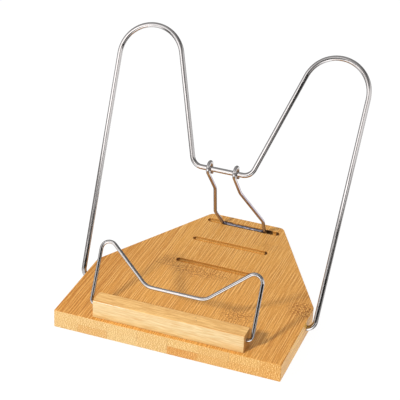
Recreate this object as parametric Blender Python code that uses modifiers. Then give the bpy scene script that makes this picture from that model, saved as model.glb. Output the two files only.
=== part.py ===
"""Tabletop reading stand: a bamboo board with a rest bar, a folding wire easel with a
support leg that stands in one of three grooves, and a wire page holder.

Metres, +Z up. The origin is on the table under the middle of the board, +Y points from
the rest bar to the rear. The stand is open, with the support leg in the rear groove."""

import math

import bmesh
import bpy
from mathutils import Vector

MM = 0.001

# Board
BOARD_WIDTH = 190.4 * MM
BOARD_DEPTH = 200.8 * MM
BOARD_THICKNESS = 15.4 * MM
BOARD_STRAIGHT_SIDE = 87.2 * MM  # the sides are parallel up to here, then taper
BOARD_REAR_WIDTH = 66.7 * MM
FRONT_CORNER_RADIUS = 1.2 * MM
SIDE_CORNER_RADIUS = 7 * MM
REAR_CORNER_RADIUS = 6 * MM
BOARD_EDGE_EASE = 0.5 * MM

# Pads under the board
PAD_DIAMETER = 10 * MM
PAD_THICKNESS = 1.3 * MM
GAP = 0.3 * MM
PAD_SPOTS = {
    "front_left": (-78 * MM, 17 * MM),
    "front_right": (78 * MM, 17 * MM),
    "rear_left": (-24 * MM, 182.4 * MM),
    "rear_right": (24 * MM, 182.4 * MM),
}

# Grooves for the foot of the support leg, distances from the board's front edge
GROOVE_WIDTH = 6.2 * MM
GROOVE_DEPTH = 2.8 * MM
GROOVE_RIM = 0.4 * MM
GROOVES = ((189.05 * MM, 66 * MM), (153.5 * MM, 67.6 * MM), (114.1 * MM, 68.8 * MM))

# Rest bar
BAR_LENGTH = 126.8 * MM
BAR_DEPTH = 14.4 * MM
BAR_HEIGHT = 15 * MM
BAR_FRONT = 3.45 * MM
BAR_EASE = 0.9 * MM

# Easel frame
FRAME_WIRE = 4.2 * MM
FRAME_PIVOT_Y = 69.17 * MM
FRAME_PIVOT_SINK = 8.27 * MM  # under the board's top face
FRAME_TILT = math.radians(62.56)
FRAME_LEG_X = 101.2 * MM
FRAME_FOOT_BEND = 7 * MM
FRAME_LOOP_X = 79.58 * MM
FRAME_LOOP_V = 189.57 * MM
FRAME_LOOP_RADIUS = 27.32 * MM
FRAME_BAR_V = 109.56 * MM
FRAME_BAR_BEND = 9.67 * MM
FRAME_BAR_HALF = 17.67 * MM
FRAME_PIN_END = 78 * MM
FRAME_HOLE_DEPTH = 18 * MM

# Support leg
LEG_WIRE = 3 * MM
LEG_FOOT_Y = 189.2 * MM
LEG_FOOT_SINK = 1.0 * MM  # the foot's centre under the board's top face
LEG_EYE_RADIUS = 4.7 * MM
LEG_EYE_RISE = 0.5 * MM  # the eyelet's centre above and behind the frame's middle bar
LEG_EYE_BACK = 0.6 * MM
LEG_EYE_X = 11.4 * MM
LEG_EYE_SWEEP = math.radians(207)
LEG_EYE_TAIL = 9.4 * MM  # the straight end of the wire behind the bar
LEG_NECK_HALF = 11.1 * MM
LEG_KNEE_HALF = 21.9 * MM
LEG_FOOT_HALF = 19.2 * MM
LEG_NECK_AT = 0.27
LEG_KNEE_AT = 0.767
LEG_FOOT_BEND = 4 * MM
LEG_KNEE_BEND = 9 * MM
LEG_ASIDE = 0.5 * MM  # the leg slides along the bar and stands a little to the right

# Page holder
HOLDER_WIRE = 3 * MM
HOLDER_PIVOT_Y = 10.05 * MM
HOLDER_PIVOT_RISE = 8.31 * MM  # above the board's top face
HOLDER_TILT = math.radians(64.2)
HOLDER_LEG_X = 67.35 * MM
HOLDER_FOOT_BEND = 3.4 * MM
HOLDER_HUMP_X = 60.52 * MM
HOLDER_HUMP_V = 44.46 * MM
HOLDER_HUMP_RADIUS = 6.65 * MM
HOLDER_BAR_V = 22.73 * MM
HOLDER_BAR_BEND = 12.92 * MM
HOLDER_BAR_HALF = 19.67 * MM
HOLDER_PIN_END = 52.4 * MM
HOLDER_HOLE_DEPTH = 12 * MM

# Screws that hold the rest bar
SCREW_X = 38 * MM
SCREW_SHANK = 3.4 * MM
SCREW_HEAD = 7 * MM
SCREW_LENGTH = 24 * MM
SCREW_SINK = 0.5 * MM

# Heights and depths in the stand's own frame
BOARD_BOTTOM = PAD_THICKNESS + GAP
BOARD_TOP = BOARD_BOTTOM + BOARD_THICKNESS
FRONT_Y = -BOARD_DEPTH / 2
FRAME_PIVOT = Vector((0, FRONT_Y + FRAME_PIVOT_Y, BOARD_TOP - FRAME_PIVOT_SINK))
HOLDER_PIVOT = Vector((0, FRONT_Y + HOLDER_PIVOT_Y, BOARD_TOP + HOLDER_PIVOT_RISE))
LEG_PIVOT = FRAME_PIVOT + FRAME_BAR_V * Vector(
    (0, math.cos(FRAME_TILT), math.sin(FRAME_TILT))
)
BAR_CENTRE = Vector(
    (0, FRONT_Y + BAR_FRONT + BAR_DEPTH / 2, BOARD_TOP + GAP + BAR_HEIGHT / 2)
)


def clear_scene():
    for obj in list(bpy.data.objects):
        bpy.data.objects.remove(obj, do_unlink=True)
    for group in list(bpy.data.collections):
        bpy.data.collections.remove(group)


def collection(name):
    group = bpy.data.collections.new(name)
    bpy.context.scene.collection.children.link(group)
    return group


def material(name, colour, roughness, metallic=0.0):
    made = bpy.data.materials.new(name)
    made.use_nodes = True
    shader = made.node_tree.nodes["Principled BSDF"]
    shader.inputs["Base Color"].default_value = (*colour, 1)
    shader.inputs["Roughness"].default_value = roughness
    shader.inputs["Metallic"].default_value = metallic
    made.diffuse_color = (*colour, 1)
    return made


def into(group, obj):
    for old in list(obj.users_collection):
        old.objects.unlink(obj)
    group.objects.link(obj)
    return obj


def smooth(obj, angle=35):
    obj.data.shade_smooth()
    obj.data.set_sharp_from_angle(angle=math.radians(angle))


def arc(centre, radius, start, end, steps):
    """Points on a circle in a plane, angles in radians, both ends included."""
    return [
        (
            centre[0] + radius * math.cos(start + (end - start) * i / steps),
            centre[1] + radius * math.sin(start + (end - start) * i / steps),
        )
        for i in range(steps + 1)
    ]


def rounded(corners, steps=6):
    """A closed outline from (x, y, radius) corners, each replaced by a tangent arc."""
    outline = []
    count = len(corners)
    for i, (x, y, radius) in enumerate(corners):
        here = Vector((x, y))
        before = (Vector(corners[i - 1][:2]) - here).normalized()
        after = (Vector(corners[(i + 1) % count][:2]) - here).normalized()
        half = before.angle(after) / 2
        centre = here + (before + after).normalized() * radius / math.sin(half)
        first = here + before * radius / math.tan(half) - centre
        last = here + after * radius / math.tan(half) - centre
        start = math.atan2(first.y, first.x)
        turn = math.atan2(last.y, last.x) - start
        turn = (turn + math.pi) % (2 * math.pi) - math.pi
        outline += arc(centre, radius, start, start + turn, steps)
    return outline


def fillet(points, radii, steps=5):
    """An open 3D path whose inner corners are replaced by tangent arcs."""
    path = [points[0]]
    for before, here, after, radius in zip(points, points[1:], points[2:], radii):
        if not radius:
            path.append(here)
            continue
        a = (before - here).normalized()
        b = (after - here).normalized()
        half = a.angle(b) / 2
        centre = here + (a + b).normalized() * radius / math.sin(half)
        first = here + a * radius / math.tan(half) - centre
        last = here + b * radius / math.tan(half) - centre
        swept = first.angle(last)
        for i in range(steps + 1):
            t = i / steps
            path.append(
                centre
                + (
                    first * math.sin((1 - t) * swept) + last * math.sin(t * swept)
                )
                / math.sin(swept)
            )
    path.append(points[-1])
    return path


def outline_curve(name, points, height, chamfer=0.0):
    """A filled 2D outline, extruded to the height, with an optional chamfer outwards."""
    data = bpy.data.curves.new(name, "CURVE")
    data.dimensions = "2D"
    data.fill_mode = "BOTH"
    data.extrude = height / 2
    data.bevel_depth = chamfer
    data.bevel_resolution = 0
    spline = data.splines.new("POLY")
    spline.points.add(len(points) - 1)
    for point, (x, y) in zip(spline.points, points):
        point.co = (x, y, 0, 1)
    spline.use_cyclic_u = True
    return bpy.data.objects.new(name, data)


def wire(name, points, diameter, resolution):
    """A round wire through the points, with closed ends."""
    data = bpy.data.curves.new(name, "CURVE")
    data.dimensions = "3D"
    data.fill_mode = "FULL"
    data.bevel_depth = diameter / 2
    data.bevel_resolution = resolution
    data.use_fill_caps = True
    spline = data.splines.new("POLY")
    spline.points.add(len(points) - 1)
    for point, co in zip(spline.points, points):
        point.co = (*co, 1)
    spline.use_smooth = True
    return bpy.data.objects.new(name, data)


def as_mesh(group, curve):
    """The curve object as a welded mesh object of the same name and place."""
    into(group, curve)
    bpy.context.view_layer.update()
    graph = bpy.context.evaluated_depsgraph_get()
    data = bpy.data.meshes.new_from_object(curve.evaluated_get(graph))
    name, matrix = curve.name, curve.matrix_world.copy()
    bpy.data.objects.remove(curve, do_unlink=True)
    mesh = bmesh.new()
    mesh.from_mesh(data)
    bmesh.ops.remove_doubles(mesh, verts=mesh.verts, dist=0.00001)
    bmesh.ops.recalc_face_normals(mesh, faces=mesh.faces)
    mesh.to_mesh(data)
    mesh.free()
    data.name = name
    obj = bpy.data.objects.new(name, data)
    obj.matrix_world = matrix
    return into(group, obj)


def cylinder(group, name, radius, length, centre, axis="Z", sides=32):
    data = bpy.data.meshes.new(name)
    mesh = bmesh.new()
    bmesh.ops.create_cone(
        mesh,
        cap_ends=True,
        segments=sides,
        radius1=radius,
        radius2=radius,
        depth=length,
    )
    mesh.to_mesh(data)
    mesh.free()
    obj = bpy.data.objects.new(name, data)
    obj.location = centre
    if axis == "X":
        obj.rotation_euler = (0, math.pi / 2, 0)
    return into(group, obj)


def box(group, name, size, centre):
    data = bpy.data.meshes.new(name)
    mesh = bmesh.new()
    bmesh.ops.create_cube(mesh, size=1)
    bmesh.ops.scale(mesh, vec=size, verts=mesh.verts)
    mesh.to_mesh(data)
    mesh.free()
    obj = bpy.data.objects.new(name, data)
    obj.location = centre
    return into(group, obj)


def turned(group, name, profile, centre, steps=32):
    """A turned shape from an (r, z) profile that starts and ends on the axis."""
    data = bpy.data.meshes.new(name)
    mesh = bmesh.new()
    verts = [mesh.verts.new((r, 0, z)) for r, z in profile]
    for a, b in zip(verts, verts[1:]):
        mesh.edges.new((a, b))
    mesh.to_mesh(data)
    mesh.free()
    obj = bpy.data.objects.new(name, data)
    obj.location = centre
    screw = obj.modifiers.new("turn", "SCREW")
    screw.axis = "Z"
    screw.steps = screw.render_steps = steps
    screw.use_merge_vertices = True
    screw.merge_threshold = 0.00001
    screw.use_smooth_shade = False
    return into(group, obj)


def helper(obj):
    obj.hide_render = True
    obj.display_type = "WIRE"
    return obj


def cut(obj, cutter):
    boolean = obj.modifiers.new(cutter.name, "BOOLEAN")
    boolean.operation = "DIFFERENCE"
    boolean.solver = "EXACT"
    boolean.object = helper(cutter)


def ease(obj, width, segments, angle=40):
    bevel = obj.modifiers.new("eased_edges", "BEVEL")
    bevel.width = width
    bevel.segments = segments
    bevel.limit_method = "ANGLE"
    bevel.angle_limit = math.radians(angle)
    bevel.harden_normals = False
    return bevel


def pivot(group, name, place):
    """An empty on a joint's axis, which carries the moving piece."""
    empty = bpy.data.objects.new(name, None)
    empty.empty_display_size = 0.01
    empty.location = place
    return into(group, empty)


def carry(empty, obj):
    """Parents the object, whose points are relative to the empty's place, to it."""
    obj.parent = empty
    obj.matrix_parent_inverse.identity()
    obj.location = (0, 0, 0)


def board_outline():
    half, rear = BOARD_WIDTH / 2, BOARD_REAR_WIDTH / 2
    side = FRONT_Y + BOARD_STRAIGHT_SIDE
    back = FRONT_Y + BOARD_DEPTH
    return rounded(
        [
            (-half, FRONT_Y, FRONT_CORNER_RADIUS),
            (half, FRONT_Y, FRONT_CORNER_RADIUS),
            (half, side, SIDE_CORNER_RADIUS),
            (rear, back, REAR_CORNER_RADIUS),
            (-rear, back, REAR_CORNER_RADIUS),
            (-half, side, SIDE_CORNER_RADIUS),
        ]
    )


def slot_outline(length, width, steps=8):
    """A slot with round ends, centred on the origin and running along X."""
    reach, radius = (length - width) / 2, width / 2
    right = arc((reach, 0), radius, -math.pi / 2, math.pi / 2, steps)
    left = arc((-reach, 0), radius, math.pi / 2, 3 * math.pi / 2, steps)
    return right + left


def screw_profile():
    """Countersunk wood screw, head down at z = 0, point up."""
    head, shank = SCREW_HEAD / 2, SCREW_SHANK / 2
    core = shank - 0.35 * MM
    cone = 2.1 * MM
    profile = [(0, SCREW_LENGTH), (0.4 * MM, SCREW_LENGTH - 0.5 * MM)]
    pitch = 1.5 * MM
    top = SCREW_LENGTH - 3 * MM
    turns = 7
    profile.append((core, top))
    for i in range(turns):
        base = top - i * pitch
        profile.append((shank, base - 0.35 * pitch))
        profile.append((core, base - 0.7 * pitch))
    profile += [
        (shank, top - turns * pitch),
        (shank, cone + 0.25 * MM),
        (head, 0.25 * MM),
        (head, 0),
        (0, 0),
    ]
    return profile


def frame_half():
    """The frame's right half in its own plane, (x, v), from the pin's end to the middle."""
    points = [(FRAME_PIN_END, 0)]
    points.append(((FRAME_PIN_END + FRAME_LEG_X - FRAME_FOOT_BEND) / 2, 0))
    points += arc(
        (FRAME_LEG_X - FRAME_FOOT_BEND, FRAME_FOOT_BEND),
        FRAME_FOOT_BEND,
        -math.pi / 2,
        0,
        6,
    )
    loop = Vector((FRAME_LOOP_X, FRAME_LOOP_V))
    # The outer leg runs from the foot bend to a tangent on the loop.
    foot = Vector((FRAME_LEG_X, FRAME_FOOT_BEND))
    away = foot - loop
    spread = math.acos(FRAME_LOOP_RADIUS / away.length)
    start = math.atan2(away.y, away.x) + spread
    # The inner leg crosses from the loop's far side to the bend at the middle bar.
    bend = Vector((FRAME_BAR_HALF, FRAME_BAR_V + FRAME_BAR_BEND))
    line = bend - loop
    swing = math.acos((FRAME_LOOP_RADIUS + FRAME_BAR_BEND) / line.length)
    end = math.atan2(line.y, line.x) - swing
    end += 2 * math.pi * (end < start)
    touch = loop + FRAME_LOOP_RADIUS * Vector((math.cos(start), math.sin(start)))
    for t in (0.25, 0.5, 0.75):
        points.append(tuple(foot.lerp(touch, t)))
    points += arc(loop, FRAME_LOOP_RADIUS, start, end, 18)
    leave = loop + FRAME_LOOP_RADIUS * Vector((math.cos(end), math.sin(end)))
    meet = bend - FRAME_BAR_BEND * Vector((math.cos(end), math.sin(end)))
    for t in (0.33, 0.67):
        points.append(tuple(leave.lerp(meet, t)))
    back = math.atan2((meet - bend).y, (meet - bend).x)
    points += arc(bend, FRAME_BAR_BEND, back, -math.pi / 2, 8)
    return points


def holder_half():
    """The page holder's right half in its own plane, from the pin's end to the middle."""
    points = [(HOLDER_PIN_END, 0)]
    points += arc(
        (HOLDER_LEG_X - HOLDER_FOOT_BEND, HOLDER_FOOT_BEND),
        HOLDER_FOOT_BEND,
        -math.pi / 2,
        0,
        5,
    )
    hump = Vector((HOLDER_HUMP_X, HOLDER_HUMP_V))
    foot = Vector((HOLDER_LEG_X, HOLDER_FOOT_BEND))
    away = foot - hump
    start = math.atan2(away.y, away.x) + math.acos(HOLDER_HUMP_RADIUS / away.length)
    bend = Vector((HOLDER_BAR_HALF, HOLDER_BAR_V + HOLDER_BAR_BEND))
    line = bend - hump
    swing = math.acos((HOLDER_HUMP_RADIUS + HOLDER_BAR_BEND) / line.length)
    end = math.atan2(line.y, line.x) - swing
    end += 2 * math.pi * (end < start)
    touch = hump + HOLDER_HUMP_RADIUS * Vector((math.cos(start), math.sin(start)))
    points.append(tuple(foot.lerp(touch, 0.5)))
    points += arc(hump, HOLDER_HUMP_RADIUS, start, end, 12)
    leave = hump + HOLDER_HUMP_RADIUS * Vector((math.cos(end), math.sin(end)))
    meet = bend - HOLDER_BAR_BEND * Vector((math.cos(end), math.sin(end)))
    points.append(tuple(leave.lerp(meet, 0.5)))
    back = math.atan2((meet - bend).y, (meet - bend).x)
    points += arc(bend, HOLDER_BAR_BEND, back, -math.pi / 2, 9)
    return points


def both_halves(half, tilt):
    """The whole path in space, from a half in a plane that leans back by the tilt."""
    lean = Vector((0, math.cos(tilt), math.sin(tilt)))
    right = [Vector((x, 0, 0)) + v * lean for x, v in half]
    left = [Vector((-p.x, p.y, p.z)) for p in reversed(right)]
    return right + [(right[-1] + left[0]) / 2] + left


def leg_path():
    """The support leg relative to the frame's middle bar, from one eyelet to the other."""
    eye = Vector((0, LEG_EYE_BACK, LEG_EYE_RISE))
    foot = Vector(
        (0, FRONT_Y + LEG_FOOT_Y - LEG_PIVOT.y, BOARD_TOP - LEG_FOOT_SINK - LEG_PIVOT.z)
    )
    away = foot - eye
    to_foot = math.atan2(away.z, away.y)
    touch = to_foot - math.acos(LEG_EYE_RADIUS / away.length)
    # Angles in the YZ plane: the wire's end is at the lower rear, and the wire runs
    # straight up behind the bar, over its top and down its front to the tangent.
    ring_end = touch - LEG_EYE_SWEEP
    ring = [
        Vector((0, eye.y + LEG_EYE_RADIUS * math.cos(a), eye.z + LEG_EYE_RADIUS * math.sin(a)))
        for a in (ring_end + (touch - ring_end) * i / 15 for i in range(16))
    ]
    ring.insert(0, ring[0] + LEG_EYE_TAIL * Vector((0, math.sin(ring_end), -math.cos(ring_end))))
    top = ring[-1]
    run = foot - top

    def at(half, share):
        return Vector((half, top.y + run.y * share, top.z + run.z * share))

    side = [
        at(LEG_EYE_X, 0),
        at(LEG_NECK_HALF, LEG_NECK_AT),
        at(LEG_KNEE_HALF, LEG_KNEE_AT),
        at(LEG_FOOT_HALF, 1),
        at(0, 1),
    ]
    lower = fillet(side, (28 * MM, LEG_KNEE_BEND, LEG_FOOT_BEND), steps=6)
    half = [Vector((LEG_EYE_X, p.y, p.z)) for p in ring[:-1]] + lower
    path = half + [Vector((-p.x, p.y, p.z)) for p in reversed(half[:-1])]
    return [p + Vector((LEG_ASIDE, 0, 0)) for p in path]


def main():
    clear_scene()
    parts = collection("reading_stand")
    cutters = collection("cutters")

    bamboo = material("bamboo_board", (0.62, 0.36, 0.13), 0.42)
    pale_bamboo = material("bamboo_bar", (0.72, 0.47, 0.20), 0.4)
    bright_wire = material("bright_wire", (0.78, 0.78, 0.8), 0.12, 1.0)
    leg_metal = material("bright_leg_wire", (0.76, 0.76, 0.78), 0.14, 1.0)
    holder_metal = material("bright_holder_wire", (0.78, 0.78, 0.8), 0.13, 1.0)
    screw_metal = material("screw_steel", (0.55, 0.53, 0.5), 0.35, 1.0)
    pad_rubber = material("pad_rubber", (0.07, 0.07, 0.07), 0.75)

    # Board
    flat = outline_curve("base_board", board_outline(), BOARD_THICKNESS)
    flat.location = (0, 0, BOARD_BOTTOM + BOARD_THICKNESS / 2)
    board = as_mesh(parts, flat)
    board.data.materials.clear()
    board.data.materials.append(bamboo)
    ease(board, BOARD_EDGE_EASE, 2, angle=60)
    for i, (place, length) in enumerate(GROOVES):
        walls = outline_curve(
            f"groove_cutter_{i}", slot_outline(length, GROOVE_WIDTH), GROOVE_DEPTH + 4 * MM
        )
        walls.location = (0, FRONT_Y + place, BOARD_TOP - GROOVE_DEPTH / 2 + 2 * MM)
        cut(board, as_mesh(cutters, walls))
        inset, over = 0.2 * MM, 0.25 * MM
        rim = outline_curve(
            f"groove_rim_cutter_{i}",
            slot_outline(length - 2 * inset, GROOVE_WIDTH - 2 * inset),
            3 * MM,
            GROOVE_RIM + inset + over,
        )
        rim.location = (0, FRONT_Y + place, BOARD_TOP + over + 1.5 * MM)
        cut(board, as_mesh(cutters, rim))
    for side in (-1, 1):
        reach = FRAME_HOLE_DEPTH + 5 * MM
        centre = side * (BOARD_WIDTH / 2 - FRAME_HOLE_DEPTH + reach / 2)
        cut(
            board,
            cylinder(
                cutters,
                f"frame_hole_cutter_{'left' if side < 0 else 'right'}",
                FRAME_WIRE / 2 + GAP,
                reach,
                (centre, FRAME_PIVOT.y, FRAME_PIVOT.z),
                "X",
                24,
            ),
        )

    # Rest bar
    bar = box(parts, "rest_bar", (BAR_LENGTH, BAR_DEPTH, BAR_HEIGHT), BAR_CENTRE)
    bar.data.materials.append(pale_bamboo)
    ease(bar, BAR_EASE, 3)
    for side in (-1, 1):
        reach = HOLDER_HOLE_DEPTH + 5 * MM
        centre = side * (BAR_LENGTH / 2 - HOLDER_HOLE_DEPTH + reach / 2)
        cut(
            bar,
            cylinder(
                cutters,
                f"holder_hole_cutter_{'left' if side < 0 else 'right'}",
                HOLDER_WIRE / 2 + GAP,
                reach,
                (centre, HOLDER_PIVOT.y, HOLDER_PIVOT.z),
                "X",
                24,
            ),
        )

    # Screws from below through the board into the bar, and their holes
    for side, word in ((-1, "left"), (1, "right")):
        place = Vector((side * SCREW_X, BAR_CENTRE.y, BOARD_BOTTOM + SCREW_SINK))
        screw = turned(parts, f"bar_screw_{word}", screw_profile(), place, 16)
        screw.data.materials.append(screw_metal)
        for turn in (0, 1):
            size = (3.6 * MM, 0.75 * MM, 2.4 * MM)
            recess = box(
                cutters,
                f"recess_cutter_{word}_{turn}",
                size if turn == 0 else (size[1], size[0], size[2] * 0.96),
                (place.x, place.y, place.z),
            )
            recess.rotation_euler = (0, 0, math.radians(20 if side > 0 else 65))
            cut(screw, recess)
        head, shank = SCREW_HEAD / 2 + GAP, SCREW_SHANK / 2 + GAP
        sunk = SCREW_SINK + 0.25 * MM
        hole = turned(
            cutters,
            f"screw_hole_cutter_{word}",
            [
                (0, SCREW_SINK + SCREW_LENGTH + 0.6 * MM),
                (shank, SCREW_SINK + SCREW_LENGTH - 1 * MM),
                (shank, sunk + 2.1 * MM),
                (head, sunk),
                (head, -2 * MM),
                (0, -2 * MM),
            ],
            (place.x, place.y, BOARD_BOTTOM),
            24,
        )
        cut(board, hole)
        cut(bar, hole)

    # Easel frame, carried by the pivot in the board's sides
    frame_pivot = pivot(parts, "easel_pivot", FRAME_PIVOT)
    frame = wire("easel_frame", both_halves(frame_half(), FRAME_TILT), FRAME_WIRE, 4)
    frame.data.materials.append(bright_wire)
    into(parts, frame)
    carry(frame_pivot, frame)

    # Support leg, carried by the frame's middle bar
    leg_pivot = pivot(parts, "support_pivot", (0, 0, 0))
    leg_pivot.parent = frame_pivot
    leg_pivot.location = LEG_PIVOT - FRAME_PIVOT
    leg = wire("support_leg", leg_path(), LEG_WIRE, 3)
    leg.data.materials.append(leg_metal)
    into(parts, leg)
    carry(leg_pivot, leg)

    # Page holder, carried by the pivot in the rest bar's ends
    holder_pivot = pivot(parts, "holder_pivot", HOLDER_PIVOT)
    holder = wire("page_holder", both_halves(holder_half(), HOLDER_TILT), HOLDER_WIRE, 3)
    holder.data.materials.append(holder_metal)
    into(parts, holder)
    carry(holder_pivot, holder)

    # Pads
    for word, (x, y) in PAD_SPOTS.items():
        pad = cylinder(
            parts,
            f"foot_pad_{word}",
            PAD_DIAMETER / 2,
            PAD_THICKNESS,
            (x, FRONT_Y + y, PAD_THICKNESS / 2),
            sides=28,
        )
        pad.data.materials.append(pad_rubber)
        ease(pad, 0.3 * MM, 1)
        smooth(pad, 50)

    for obj in (board, bar):
        smooth(obj)


main()
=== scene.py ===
"""Looks of the tabletop reading stand: bamboo board and rest bar, plated wires, screws,
pads, floor, light and camera. Metres, +Z up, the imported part's own frame at rest."""

import math

import bmesh
import bpy
from mathutils import Matrix, Vector

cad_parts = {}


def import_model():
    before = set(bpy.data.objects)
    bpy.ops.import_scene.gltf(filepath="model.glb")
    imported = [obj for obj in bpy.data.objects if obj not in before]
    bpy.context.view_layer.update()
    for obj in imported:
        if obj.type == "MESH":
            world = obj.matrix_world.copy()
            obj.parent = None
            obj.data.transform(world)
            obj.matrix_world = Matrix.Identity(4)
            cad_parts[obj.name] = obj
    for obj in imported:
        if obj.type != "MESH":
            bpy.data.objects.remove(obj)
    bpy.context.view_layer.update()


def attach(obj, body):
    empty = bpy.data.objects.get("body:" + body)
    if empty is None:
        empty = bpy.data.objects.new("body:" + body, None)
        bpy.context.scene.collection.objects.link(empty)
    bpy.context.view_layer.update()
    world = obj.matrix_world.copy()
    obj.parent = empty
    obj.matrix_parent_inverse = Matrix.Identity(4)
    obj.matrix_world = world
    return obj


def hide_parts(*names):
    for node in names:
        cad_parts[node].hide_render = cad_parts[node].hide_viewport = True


MM = 0.001

# Board, in metres from the front edge where a distance is given
BOARD_BOTTOM, BOARD_TOP = 1.6 * MM, 17.0 * MM
BOARD_HALF, REAR_HALF = 95.2 * MM, 33.35 * MM
FRONT_Y, REAR_Y, SIDE_Y = -100.4 * MM, 100.4 * MM, -13.2 * MM
GROOVES = ((189.05 * MM, 66 * MM), (153.5 * MM, 67.6 * MM), (114.1 * MM, 68.8 * MM))
GROOVE_WIDTH, GROOVE_DEPTH, GROOVE_RIM = 6.2 * MM, 2.8 * MM, 0.35 * MM

# Rest bar
BAR_LENGTH, BAR_DEPTH = 126.8 * MM, 14.4 * MM
BAR_BOTTOM, BAR_TOP = 17.02 * MM, 32.3 * MM
BAR_Y = -89.75 * MM

# Wires
FRAME_WIRE, LEG_WIRE, HOLDER_WIRE = 4.2 * MM, 3 * MM, 3 * MM
FRAME_PIVOT = Vector((0, -31.23, 8.73)) * MM
FRAME_TILT, HOLDER_TILT = math.radians(62.56), math.radians(64.2)
HOLDER_PIVOT = Vector((0, -90.35, 25.31)) * MM
LEG_PIVOT = FRAME_PIVOT + 109.56 * MM * Vector(
    (0, math.cos(FRAME_TILT), math.sin(FRAME_TILT))
)


# ---------------------------------------------------------------- shapes


def arc(centre, radius, start, end, steps):
    return [
        (
            centre[0] + radius * math.cos(start + (end - start) * i / steps),
            centre[1] + radius * math.sin(start + (end - start) * i / steps),
        )
        for i in range(steps + 1)
    ]


def rounded(corners, steps=12):
    """A closed outline from (x, y, radius) corners, each replaced by a tangent arc."""
    outline = []
    count = len(corners)
    for i, (x, y, radius) in enumerate(corners):
        here = Vector((x, y))
        before = (Vector(corners[i - 1][:2]) - here).normalized()
        after = (Vector(corners[(i + 1) % count][:2]) - here).normalized()
        half = before.angle(after) / 2
        centre = here + (before + after).normalized() * radius / math.sin(half)
        first = here + before * radius / math.tan(half) - centre
        last = here + after * radius / math.tan(half) - centre
        start = math.atan2(first.y, first.x)
        turn = math.atan2(last.y, last.x) - start
        turn = (turn + math.pi) % (2 * math.pi) - math.pi
        outline += arc(centre, radius, start, start + turn, steps)
    return outline


def inset(corners, by):
    """The same outline moved inwards; corner radii shrink by as much."""
    moved = []
    count = len(corners)
    for i, (x, y, radius) in enumerate(corners):
        here = Vector((x, y))
        before = (Vector(corners[i - 1][:2]) - here).normalized()
        after = (Vector(corners[(i + 1) % count][:2]) - here).normalized()
        half = before.angle(after) / 2
        spot = here + (before + after).normalized() * by / math.sin(half)
        moved.append((spot.x, spot.y, radius - by))
    return moved


def fillet(points, radii, steps=12):
    """An open 3D path whose inner corners are replaced by tangent arcs."""
    path = [points[0]]
    for before, here, after, radius in zip(points, points[1:], points[2:], radii):
        a = (before - here).normalized()
        b = (after - here).normalized()
        half = a.angle(b) / 2
        centre = here + (a + b).normalized() * radius / math.sin(half)
        first = here + a * radius / math.tan(half) - centre
        last = here + b * radius / math.tan(half) - centre
        swept = first.angle(last)
        for i in range(steps + 1):
            t = i / steps
            path.append(
                centre
                + (first * math.sin((1 - t) * swept) + last * math.sin(t * swept))
                / math.sin(swept)
            )
    path.append(points[-1])
    return path


def mesh_object(name, mesh):
    """A bmesh as an object of that name in the scene."""
    bmesh.ops.recalc_face_normals(mesh, faces=mesh.faces)
    data = bpy.data.meshes.new(name)
    mesh.to_mesh(data)
    mesh.free()
    obj = bpy.data.objects.new(name, data)
    bpy.context.scene.collection.objects.link(obj)
    return obj


def loft(name, rings):
    """A closed solid through rings of equal count, with flat caps on both ends."""
    mesh = bmesh.new()
    rows = [[mesh.verts.new(p) for p in ring] for ring in rings]
    for low, high in zip(rows, rows[1:]):
        for i in range(len(low)):
            j = (i + 1) % len(low)
            mesh.faces.new((low[i], low[j], high[j], high[i]))
    mesh.faces.new(list(reversed(rows[0])))
    mesh.faces.new(rows[-1])
    return mesh_object(name, mesh)


def turned(name, profile, centre, sides, shape=None):
    """A turned solid from (r, z) pairs off the axis, closed with a fan at both ends."""
    mesh = bmesh.new()
    rows = []
    for r, z in profile:
        row = []
        for i in range(sides):
            a = 2 * math.pi * i / sides
            reach = shape(r, z, a) if shape else r
            row.append(mesh.verts.new((reach * math.cos(a), reach * math.sin(a), z)))
        rows.append(row)
    for low, high in zip(rows, rows[1:]):
        for i in range(sides):
            j = (i + 1) % sides
            mesh.faces.new((low[i], low[j], high[j], high[i]))
    for row in (rows[0], rows[-1]):
        tip = mesh.verts.new((0, 0, row[0].co.z))
        for i in range(sides):
            mesh.faces.new((row[i], row[(i + 1) % sides], tip))
    obj = mesh_object(name, mesh)
    obj.data.transform(Matrix.Translation(centre))
    return obj


def rod(name, radius, start, end, sides=40):
    """A plain pin along X, used as a drill."""
    rings = [
        [
            Vector((x, start.y + radius * math.cos(a), start.z + radius * math.sin(a)))
            for a in (2 * math.pi * i / sides for i in range(sides))
        ]
        for x in (start.x, end.x)
    ]
    return loft(name, rings)


def apply_modifiers(obj):
    bpy.context.view_layer.update()
    graph = bpy.context.evaluated_depsgraph_get()
    data = bpy.data.meshes.new_from_object(obj.evaluated_get(graph))
    old = obj.data
    obj.modifiers.clear()
    obj.data = data
    data.name = obj.name
    bpy.data.meshes.remove(old)


def carve(obj, cutters):
    """Cuts the cutters out of the object and removes them."""
    for cutter in cutters:
        step = obj.modifiers.new(cutter.name, "BOOLEAN")
        step.operation = "DIFFERENCE"
        step.solver = "EXACT"
        step.object = cutter
    apply_modifiers(obj)
    for cutter in cutters:
        data = cutter.data
        bpy.data.objects.remove(cutter)
        bpy.data.meshes.remove(data)


def polish(obj, angle=40):
    """Smooth shading that leaves the large flat faces flat."""
    obj.data.shade_smooth()
    obj.data.set_sharp_from_angle(angle=math.radians(angle))
    weigh = obj.modifiers.new("even_normals", "WEIGHTED_NORMAL")
    weigh.keep_sharp = True
    weigh.weight = 100
    apply_modifiers(obj)


def resample(path, reach):
    """The path with points added so that no step is longer than reach."""
    out = [path[0]]
    for a, b in zip(path, path[1:]):
        count = max(1, math.ceil((b - a).length / reach))
        out += [a.lerp(b, i / count) for i in range(1, count + 1)]
    return out


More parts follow.
